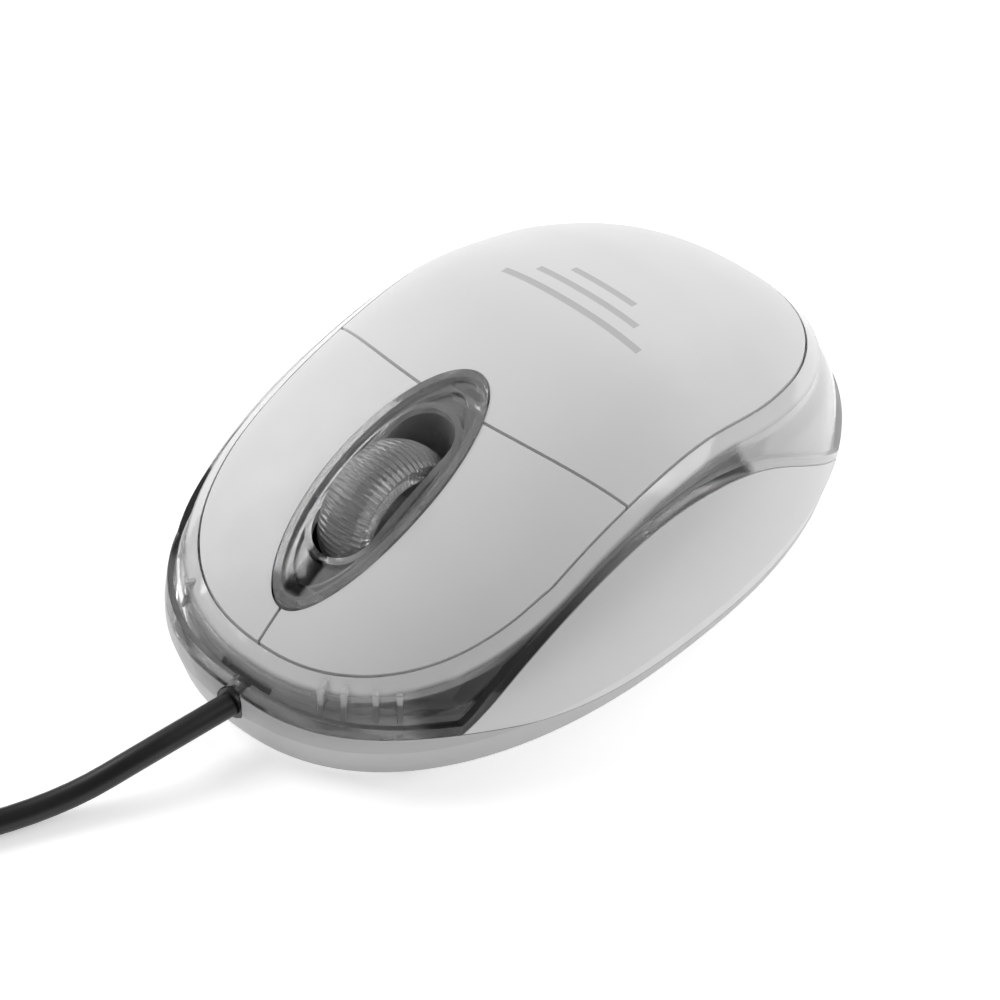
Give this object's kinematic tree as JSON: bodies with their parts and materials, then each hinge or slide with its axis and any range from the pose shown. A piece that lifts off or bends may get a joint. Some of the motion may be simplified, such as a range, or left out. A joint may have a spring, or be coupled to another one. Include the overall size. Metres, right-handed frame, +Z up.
{
  "type": "computer mouse",
  "caption": "Small wired optical computer mouse: white top covers and side panels on a clear housing band, clear scroll wheel in an oval bezel, cable with a USB plug.",
  "frame": {"origin": "on the desk, under the middle of the mouse body (cable left out)", "axes": "+Z up, -Y towards the nose and the cable, +X towards the user's left"},
  "size_m": [0.1064, 0.1627, 0.0315],
  "materials": {
    "white_cover": "soft-touch matte white",
    "white_shell": "satin white moulding",
    "clear_plastic": "clear moulded acrylic",
    "clear_wheel": "clear ribbed plastic",
    "axle_plastic": "natural nylon",
    "foot_pad": "low-friction tape",
    "circuit_board": "dark solder mask",
    "black_plastic": "black moulding",
    "grey_plastic": "grey moulding",
    "red_plastic": "switch plunger",
    "led_lens": "tinted clear epoxy",
    "capacitor_sleeve": "printed sleeve",
    "steel": "zinc plated",
    "cable_jacket": "matte black PVC",
    "wire_jacket": "coloured wires",
    "plug_metal": "nickel plated",
    "contact_metal": "gold flash"
  },
  "bodies": {
    "mouse_body": {"bottom_shell": "white_shell", "glide_feet": "foot_pad", "clear_housing": "clear_plastic", "palm_cover": "white_cover", "left_side_panel": "white_shell", "right_side_panel": "white_shell", "left_switch_body": "black_plastic", "right_switch_body": "black_plastic", "middle_switch_body": "black_plastic", "wheel_bezel": "clear_plastic", "encoder_body": "grey_plastic", "circuit_board": "circuit_board", "sensor_chip": "black_plastic", "sensor_lens": "clear_plastic", "led": "led_lens", "led_clip": "black_plastic", "capacitor": "capacitor_sleeve", "chip_resistors": "black_plastic", "cable_socket": "axle_plastic", "inner_wires": "wire_jacket", "base_screw": "steel", "strain_relief": "cable_jacket", "cable": "cable_jacket", "cable_tail": "cable_jacket", "cable_coil": "cable_jacket", "cable_tie": "black_plastic", "usb_plug_body": "black_plastic", "usb_plug_shell": "plug_metal", "usb_plug_tongue": "axle_plastic", "usb_contacts": "contact_metal"},
    "left_button": {"left_button": "white_cover"},
    "right_button": {"right_button": "white_cover"},
    "left_plunger": {"left_switch_plunger": "red_plastic"},
    "right_plunger": {"right_switch_plunger": "red_plastic"},
    "middle_plunger": {"middle_switch_plunger": "red_plastic"},
    "wheel_carrier": {"wheel_carrier": "axle_plastic"},
    "wheel": {"scroll_wheel": "clear_wheel", "wheel_axle": "axle_plastic", "encoder_rotor": "axle_plastic"}
  },
  "joints": [
    {"name": "left_button_press", "type": "hinge", "parent": "mouse_body", "child": "left_button", "pos_m": [0, -0.0065, 0.0255], "axis": [1, 0, 0], "range_deg": [0, 1.2], "stiffness_Nm_per_rad": 0.6, "springref_deg": -0.34},
    {"name": "right_button_press", "type": "hinge", "parent": "mouse_body", "child": "right_button", "pos_m": [0, -0.0065, 0.0255], "axis": [1, 0, 0], "range_deg": [0, 1.2], "stiffness_Nm_per_rad": 0.6, "springref_deg": -0.34},
    {"name": "left_plunger_slide", "type": "slide", "parent": "mouse_body", "child": "left_plunger", "axis": [0, 0, -1], "range_m": [0, 0.00045]},
    {"name": "right_plunger_slide", "type": "slide", "parent": "mouse_body", "child": "right_plunger", "axis": [0, 0, -1], "range_m": [0, 0.00045]},
    {"name": "wheel_press", "type": "hinge", "parent": "mouse_body", "child": "wheel_carrier", "pos_m": [0.0096, -0.0218, 0.0177], "axis": [0, -1, 0], "range_deg": [0, 1.2], "stiffness_Nm_per_rad": 0.6, "springref_deg": -0.57},
    {"name": "wheel_spin", "type": "hinge", "parent": "wheel_carrier", "child": "wheel", "pos_m": [0, -0.0218, 0.0177], "axis": [1, 0, 0], "continuous": true},
    {"name": "middle_plunger_slide", "type": "slide", "parent": "mouse_body", "child": "middle_plunger", "axis": [0, 0, -1], "range_m": [0, 0.00045]}
  ],
  "couplings": [
    {"joint": "left_plunger_slide", "follows": "left_button_press", "m_per_rad": 0.0209},
    {"joint": "right_plunger_slide", "follows": "right_button_press", "m_per_rad": 0.0209},
    {"joint": "middle_plunger_slide", "follows": "wheel_press", "m_per_rad": 0.0194}
  ]
}
